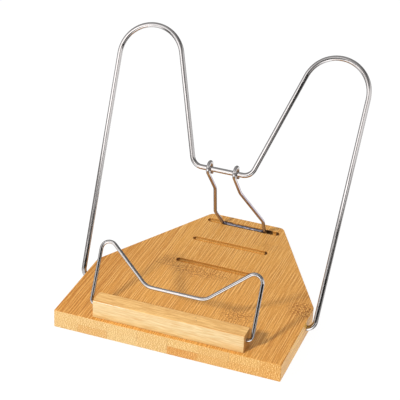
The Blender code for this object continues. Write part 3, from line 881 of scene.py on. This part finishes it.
def groove_cutter(name, centre_y, length):
    """The milled slot: a small round at the floor, straight walls, a rounded rim."""
    floor, foot, rim = BOARD_TOP - GROOVE_DEPTH, 0.35 * MM, GROOVE_RIM
    profile = []
    for i in range(5):
        a = math.pi / 2 * i / 4
        profile.append((-foot * (1 - math.sin(a)), floor + foot * (1 - math.cos(a))))
    for i in range(7):
        a = math.radians(88) * i / 6
        profile.append((rim * (1 - math.cos(a)), BOARD_TOP - rim + rim * math.sin(a)))
    profile.append((rim * 1.25, BOARD_TOP + 1.0 * MM))
    rings = [
        slot_ring(centre_y, length + 2 * out, GROOVE_WIDTH + 2 * out, height)
        for out, height in profile
    ]
    return loft(name, rings)


def screw_hole(name, x):
    """Clearance hole with a countersink under the board."""
    profile = [
        (3.9 * MM, -1.0 * MM),
        (3.9 * MM, 0.55 * MM),
        (2.0 * MM, 2.6 * MM),
        (2.0 * MM, 23.5 * MM),
        (0.6 * MM, 25.0 * MM),
    ]
    return turned(name, profile, Vector((x, BAR_Y, BOARD_BOTTOM)), 40)


def make_board():
    board = loft("board", board_rings(0.3 * MM))
    cutters = [
        groove_cutter(f"slot_{i}", FRONT_Y + place, length)
        for i, (place, length) in enumerate(GROOVES)
    ]
    for side in (-1, 1):
        start = Vector((side * 77 * MM, FRAME_PIVOT.y, FRAME_PIVOT.z))
        end = Vector((side * 100 * MM, FRAME_PIVOT.y, FRAME_PIVOT.z))
        cutters.append(rod(f"drill_{side}", 2.4 * MM, start, end))
        cutters.append(screw_hole(f"sink_{side}", side * 38 * MM))
    carve(board, cutters)
    polish(board)
    return board


def make_bar():
    half, deep = BAR_LENGTH / 2, BAR_DEPTH / 2
    corners = [
        (-half, BAR_Y - deep, 0.75 * MM),
        (half, BAR_Y - deep, 0.75 * MM),
        (half, BAR_Y + deep, 0.8 * MM),
        (-half, BAR_Y + deep, 1.6 * MM),
    ]
    bar = loft("bar", edge_rings(corners, BAR_BOTTOM, BAR_TOP, 0.65 * MM, 5))
    cutters = []
    for side in (-1, 1):
        start = Vector((side * 51.4 * MM, HOLDER_PIVOT.y, HOLDER_PIVOT.z))
        end = Vector((side * 68 * MM, HOLDER_PIVOT.y, HOLDER_PIVOT.z))
        cutters.append(rod(f"bore_{side}", 1.8 * MM, start, end))
        cutters.append(screw_hole(f"pilot_{side}", side * 38 * MM))
    carve(bar, cutters)
    polish(bar)
    return bar


def make_screw(name, x, turn):
    """Countersunk wood screw with a helical thread and a cross recess, head down."""
    length, shank, core, pitch = 24.0, 1.7, 1.3, 1.5
    profile = [(3.42, 0.02), (3.5, 0.1), (3.5, 0.3), (1.78, 2.25), (1.7, 2.5), (1.7, 9.6)]
    rows = 150
    for i in range(rows + 1):
        profile.append((1.0, 9.7 + (length - 9.7) * i / rows))

    def thread(r, z, a):
        z /= MM
        if z < 9.65:
            return r
        taper = min(1.0, (length - z) / 4.0 + 0.08)
        phase = (z / pitch - a / (2 * math.pi)) % 1.0
        ridge = max(0.0, 1 - abs(phase - 0.5) / 0.28)
        fade = min(1.0, (z - 9.65) / 1.0)
        base = core + (shank - core) * (1 - fade)
        return (base + (shank - core) * ridge * fade) * taper * MM

    made = turned(
        name,
        [(r * MM, z * MM) for r, z in profile],
        Vector((x, BAR_Y, BOARD_BOTTOM + 0.5 * MM)),
        36,
        thread,
    )
    cutters = []
    for i in (0, 1):
        a = math.radians(turn + 90 * i)
        rings = []
        for height, long, wide in ((-0.5, 2.15, 0.5), (0.0, 1.95, 0.45), (1.5, 0.75, 0.28)):
            ring = []
            for sx, sy in ((-1, -1), (1, -1), (1, 1), (-1, 1)):
                px, py = sx * long * MM, sy * wide * MM
                ring.append(
                    Vector(
                        (
                            x + px * math.cos(a) - py * math.sin(a),
                            BAR_Y + px * math.sin(a) + py * math.cos(a),
                            BOARD_BOTTOM + (0.5 + height) * MM,
                        )
                    )
                )
            rings.append(ring)
        cutters.append(loft(f"{name}_cross_{i}", rings))
    carve(made, cutters)
    polish(made, 35)
    return made


def make_pad(name, x, y):
    """A thin domed pad with a rounded rim, glued under the board."""
    radius, height = 5.0, 1.6
    profile = [(0.6, 0.0), (3.3, 0.0), (3.9, 0.03)]
    for i in range(8):
        a = math.pi / 2 * i / 7
        profile.append((4.35 + 0.65 * math.sin(a), 0.08 + 0.65 * (1 - math.cos(a))))
    profile += [(radius, 1.45), (4.93, 1.56), (4.85, height), (0.6, height)]
    made = turned(
        name, [(r * MM, z * MM) for r, z in profile], Vector((x * MM, y * MM, 0)), 48
    )
    polish(made, 50)
    return made


def finish_piece(obj, material, node, body):
    obj.data.materials.clear()
    obj.data.materials.append(material)
    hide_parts(node)
    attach(obj, body)


# ---------------------------------------------------------------- stage


def make_floor():
    """A wide round floor whose edge is far outside the view."""
    mesh = bmesh.new()
    rings = [0.25, 0.6, 1.2, 2.5, 6.0]
    sides = 64
    rows = []
    for r in rings:
        rows.append(
            [
                mesh.verts.new((r * math.cos(2 * math.pi * i / sides), r * math.sin(2 * math.pi * i / sides), 0))
                for i in range(sides)
            ]
        )
    middle = mesh.verts.new((0, 0, 0))
    for i in range(sides):
        mesh.faces.new((rows[0][i], rows[0][(i + 1) % sides], middle))
    for low, high in zip(rows, rows[1:]):
        for i in range(sides):
            j = (i + 1) % sides
            mesh.faces.new((low[i], low[j], high[j], high[i]))
    floor = mesh_object("floor", mesh)
    made = bpy.data.materials.new("floor_white")
    made.use_nodes = True
    net = Net(made.node_tree)
    out = net.node("ShaderNodeOutputMaterial")
    both = net.node("ShaderNodeAddShader")
    dull = net.node("ShaderNodeBsdfDiffuse")
    glow = net.node("ShaderNodeEmission")
    dull.inputs[0].default_value = (0.08, 0.08, 0.08, 1)
    glow.inputs[0].default_value = (1, 1, 1, 1)
    glow.inputs[1].default_value = 0.955
    net.put(both.inputs[0], dull.outputs[0])
    net.put(both.inputs[1], glow.outputs[0])
    net.put(out.inputs[0], both.outputs[0])
    floor.data.materials.append(made)
    floor.visible_glossy = False
    return floor


def make_world():
    """White studio: even fill, and for reflections a bright side and a dark side."""
    world = bpy.data.worlds.new("studio")
    bpy.context.scene.world = world
    world.use_nodes = True
    net = Net(world.node_tree)
    out = net.node("ShaderNodeOutputWorld")
    path = net.node("ShaderNodeLightPath")
    where = net.node("ShaderNodeTexCoord")
    x, y, z = net.split(net.vector("NORMALIZE", where.outputs["Generated"]))
    degree = 180 / math.pi
    side = net.mul(net.math("ARCTAN2", x, net.mul(y, -1.0)), degree)
    rise = net.mul(net.math("ARCSINE", z), degree)

    turn = net.line(side, -180.0, 180.0)
    low = net.levels(turn, ((-180, 0.15), (-110, 0.30), (-75, 0.7), (-40, 1.35), (-13, 1.5), (0, 2.0), (24, 2.0), (38, 0.9), (52, 0.15), (105, 0.12), (122, 0.7), (145, 1.7), (165, 0.7), (180, 0.15)))
    middle = net.levels(turn, ((-180, 0.16), (-110, 0.22), (-85, 0.55), (-68, 0.8), (-50, 1.8), (-12, 1.7), (2, 1.1), (23, 0.8), (45, 1.3), (62, 1.15), (78, 0.95), (95, 0.95), (118, 0.9), (140, 0.25), (180, 0.16)))
    high = net.levels(turn, ((-180, 0.38), (-120, 0.40), (-80, 0.45), (-50, 0.60), (-36, 0.85), (-26, 1.2), (-18, 1.1), (-6, 0.50), (20, 0.40), (35, 0.30), (65, 0.12), (100, 0.12), (140, 0.15), (180, 0.30)))
    level = net.blend(net.step(rise, -12.0, -4.0), low, middle)
    level = net.blend(net.step(rise, 28.0, 42.0), level, high)
    level = net.blend(net.step(rise, 58.0, 75.0), level, 0.36)
    level = net.blend(net.step(rise, -50.0, -75.0), level, 0.9)

    fill = net.node("ShaderNodeBackground")
    fill.inputs[0].default_value = (1, 1, 1, 1)
    fill.inputs[1].default_value = 0.70
    seen = net.node("ShaderNodeBackground")
    seen.inputs[0].default_value = (1, 1, 1, 1)
    seen.inputs[1].default_value = 1.0
    shine = net.node("ShaderNodeBackground")
    shine.inputs[0].default_value = (1, 1, 1, 1)
    net.put(shine.inputs[1], net.mul(level, 1.32))
    first = net.node("ShaderNodeMixShader")
    net.put(first.inputs[0], path.outputs["Is Glossy Ray"])
    net.put(first.inputs[1], fill.outputs[0])
    net.put(first.inputs[2], shine.outputs[0])
    second = net.node("ShaderNodeMixShader")
    net.put(second.inputs[0], path.outputs["Is Camera Ray"])
    net.put(second.inputs[1], first.outputs[0])
    net.put(second.inputs[2], seen.outputs[0])
    net.put(out.inputs[0], second.outputs[0])


def make_key():
    """A soft box to the front left, above the reader's shoulder."""
    lamp = bpy.data.lights.new("key", "AREA")
    lamp.shape = "SQUARE"
    lamp.size = 0.10
    lamp.energy = 10.1
    key = bpy.data.objects.new("key", lamp)
    bpy.context.scene.collection.objects.link(key)
    key.location = (-0.279, -0.796, 0.544)
    aim = Vector((0, 0, 0.03)) - key.location
    key.rotation_euler = aim.to_track_quat("-Z", "Y").to_euler()
    key.visible_glossy = False
    return key


def panel(name, corners, level):
    """A glowing sheet that only reflections show."""
    mesh = bmesh.new()
    columns, rows = 8, 4
    a, b, c, d = (Vector(p) for p in corners)
    grid = [
        [mesh.verts.new(a.lerp(b, i / columns).lerp(d.lerp(c, i / columns), j / rows)) for j in range(rows + 1)]
        for i in range(columns + 1)
    ]
    for one, two in zip(grid, grid[1:]):
        for j in range(rows):
            mesh.faces.new((one[j], two[j], two[j + 1], one[j + 1]))
    sheet = mesh_object(name, mesh)
    made = bpy.data.materials.new(name)
    made.use_nodes = True
    net = Net(made.node_tree)
    out = net.node("ShaderNodeOutputMaterial")
    glow = net.node("ShaderNodeEmission")
    glow.inputs[0].default_value = (1, 0.98, 0.96, 1)
    glow.inputs[1].default_value = level
    net.put(out.inputs[0], glow.outputs[0])
    sheet.data.materials.append(made)
    sheet.visible_camera = False
    sheet.visible_diffuse = False
    sheet.visible_shadow = False
    sheet.visible_transmission = False
    return sheet


def make_panels():
    """What the bright wires mirror: the lamp's face, a wall of dark and bright panels in front, and cards."""
    panel("wall_a1", ((-0.6, -0.54, 0), (-0.42, -0.58, 0), (-0.42, -0.58, 0.155), (-0.6, -0.54, 0.155)), 0.03)
    panel("wall_a2", ((-0.6, -0.54, 0.155), (-0.42, -0.58, 0.155), (-0.42, -0.58, 0.27), (-0.6, -0.54, 0.27)), 0.156)
    panel("wall_a3", ((-0.6, -0.54, 0.27), (-0.42, -0.58, 0.27), (-0.42, -0.58, 0.39), (-0.6, -0.54, 0.4)), 0.742)
    panel("wall_b1", ((-0.42, -0.58, 0), (-0.25, -0.615, 0), (-0.25, -0.615, 0.155), (-0.42, -0.58, 0.155)), 1.68)
    panel("wall_b2", ((-0.42, -0.58, 0.155), (-0.25, -0.615, 0.155), (-0.25, -0.615, 0.27), (-0.42, -0.58, 0.27)), 1.41)
    panel("wall_b3", ((-0.42, -0.58, 0.27), (-0.25, -0.615, 0.27), (-0.25, -0.615, 0.39), (-0.42, -0.58, 0.39)), 0.177)
    panel("wall_c1", ((-0.25, -0.615, 0), (-0.12, -0.64, 0), (-0.12, -0.64, 0.155), (-0.25, -0.615, 0.155)), 2.94)
    panel("wall_c2", ((-0.25, -0.615, 0.155), (-0.12, -0.64, 0.155), (-0.12, -0.64, 0.27), (-0.25, -0.615, 0.27)), 0.03)
    panel("wall_c3", ((-0.25, -0.615, 0.27), (-0.12, -0.64, 0.27), (-0.12, -0.64, 0.385), (-0.25, -0.615, 0.39)), 2.46)
    panel("wall_d1", ((-0.12, -0.64, 0), (0.03, -0.615, 0), (0.03, -0.615, 0.155), (-0.12, -0.64, 0.155)), 0.03)
    panel("wall_d2", ((-0.12, -0.64, 0.155), (0.03, -0.615, 0.155), (0.03, -0.615, 0.27), (-0.12, -0.64, 0.27)), 0.03)
    panel("wall_d3", ((-0.12, -0.64, 0.27), (0.03, -0.615, 0.27), (0.03, -0.615, 0.385), (-0.12, -0.64, 0.385)), 0.03)
    panel("wall_e1", ((0.03, -0.615, 0), (0.2, -0.59, 0), (0.2, -0.59, 0.155), (0.03, -0.615, 0.155)), 0.03)
    panel("wall_e2", ((0.03, -0.615, 0.155), (0.2, -0.59, 0.155), (0.2, -0.59, 0.27), (0.03, -0.615, 0.27)), 0.03)
    panel("wall_e3", ((0.03, -0.615, 0.27), (0.2, -0.59, 0.27), (0.2, -0.59, 0.325), (0.03, -0.615, 0.34)), 0.03)
    panel("wall_f1", ((0.2, -0.59, 0), (0.45, -0.545, 0), (0.45, -0.545, 0.155), (0.2, -0.59, 0.155)), 0.6)
    panel("wall_f2", ((0.2, -0.59, 0.155), (0.45, -0.545, 0.155), (0.45, -0.545, 0.27), (0.2, -0.59, 0.27)), 0.03)
    panel("wall_f3", ((0.2, -0.59, 0.27), (0.45, -0.545, 0.27), (0.45, -0.545, 0.31), (0.2, -0.59, 0.325)), 0.59)
    panel("wall_g1", ((0.45, -0.545, 0), (0.72, -0.5, 0), (0.72, -0.5, 0.155), (0.45, -0.545, 0.155)), 1.24)
    panel("wall_g2", ((0.45, -0.545, 0.155), (0.72, -0.5, 0.155), (0.72, -0.5, 0.27), (0.45, -0.545, 0.27)), 0.03)
    panel("wall_g3", ((0.45, -0.545, 0.27), (0.72, -0.5, 0.27), (0.72, -0.5, 0.29), (0.45, -0.545, 0.31)), 0.03)
    panel("wall_e4", ((0.03, -0.615, 0.342), (0.2, -0.59, 0.327), (0.2, -0.59, 0.428), (0.03, -0.615, 0.428)), 0.759)
    panel("wall_f4", ((0.2, -0.59, 0.327), (0.45, -0.545, 0.312), (0.45, -0.545, 0.41), (0.2, -0.59, 0.428)), 0.03)
    panel("lamp_face", ((-0.38, -0.8, 0.42), (-0.18, -0.82, 0.42), (-0.18, -0.76, 0.68), (-0.38, -0.74, 0.68)), 3.84)
    panel("wall_far_right", ((0.72, -0.5, 0), (1.15, -0.1, 0), (1.15, -0.1, 0.18), (0.72, -0.5, 0.29)), 0.03)
    panel("card_high_left", ((-0.13, -0.6, 0.43), (0.2, -0.6, 0.43), (0.2, -0.6, 0.7), (-0.13, -0.6, 0.7)), 0.03)
    panel("card_high_right", ((0.2, -0.6, 0.43), (0.55, -0.6, 0.43), (0.55, -0.6, 0.7), (0.2, -0.6, 0.7)), 1.39)
    panel("card_top", ((-0.22, -0.6, 0.56), (-0.13, -0.6, 0.56), (-0.13, -0.6, 0.75), (-0.22, -0.6, 0.75)), 0.03)
    panel("card_left", ((-0.85, -0.6, 0.56), (-0.4, -0.6, 0.56), (-0.4, -0.6, 0.8), (-0.85, -0.6, 0.8)), 1.89)
    panel("side_card", ((-0.23, 0.1, 0), (-0.23, -0.13, 0), (-0.23, -0.13, 0.14), (-0.23, 0.1, 0.15)), 0.3)


def make_camera():
    data = bpy.data.cameras.new("view")
    data.sensor_width = 36
    data.lens = 135.764
    data.clip_start = 0.01
    camera = bpy.data.objects.new("view", data)
    bpy.context.scene.collection.objects.link(camera)
    turn = Matrix(
        (
            (0.936939, -0.201075, 0.285856),
            (0.347138, 0.440659, -0.827838),
            (0.040492, 0.874865, 0.482671),
        )
    )
    camera.matrix_world = Matrix.Translation(
        (0.33996108, -1.01672741, 0.67886068)
    ) @ turn.to_4x4()
    bpy.context.scene.camera = camera


def main():
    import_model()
    scene = bpy.context.scene
    scene.view_settings.view_transform = "Standard"
    scene.view_settings.look = "None"

    make_camera()
    make_world()
    make_key()
    make_floor()
    make_panels()

    finish_piece(make_board(), board_material(), "base_board", "base")
    finish_piece(make_bar(), bar_material(), "rest_bar", "base")

    chrome = (0.48, 0.460, 0.457)
    easel = tube("easel", frame_route(), FRAME_WIRE, 40)
    finish_piece(easel, wire_material("easel_wire", chrome, 0.045), "easel_frame", "easel")
    leg = tube("leg", leg_route(), LEG_WIRE, 32)
    finish_piece(leg, wire_material("support_wire", chrome, 0.05, painted_leg_shade=True), "support_leg", "support")
    holder = tube("holder", holder_route(), HOLDER_WIRE, 32)
    finish_piece(holder, wire_material("holder_wire", chrome, 0.045), "page_holder", "holder")

    steel = screw_material()
    for word, x, turn in (("left", -38 * MM, 65), ("right", 38 * MM, 20)):
        screw = make_screw(f"screw_{word}", x, turn)
        finish_piece(screw, steel, f"bar_screw_{word}", "base")
    rubber = pad_material()
    for word, x, y in (
        ("front_left", -78, -83.4),
        ("front_right", 78, -83.4),
        ("rear_left", -24, 82),
        ("rear_right", 24, 82),
    ):
        pad = make_pad(f"pad_{word}", x, y)
        finish_piece(pad, rubber, f"foot_pad_{word}", "base")


main()
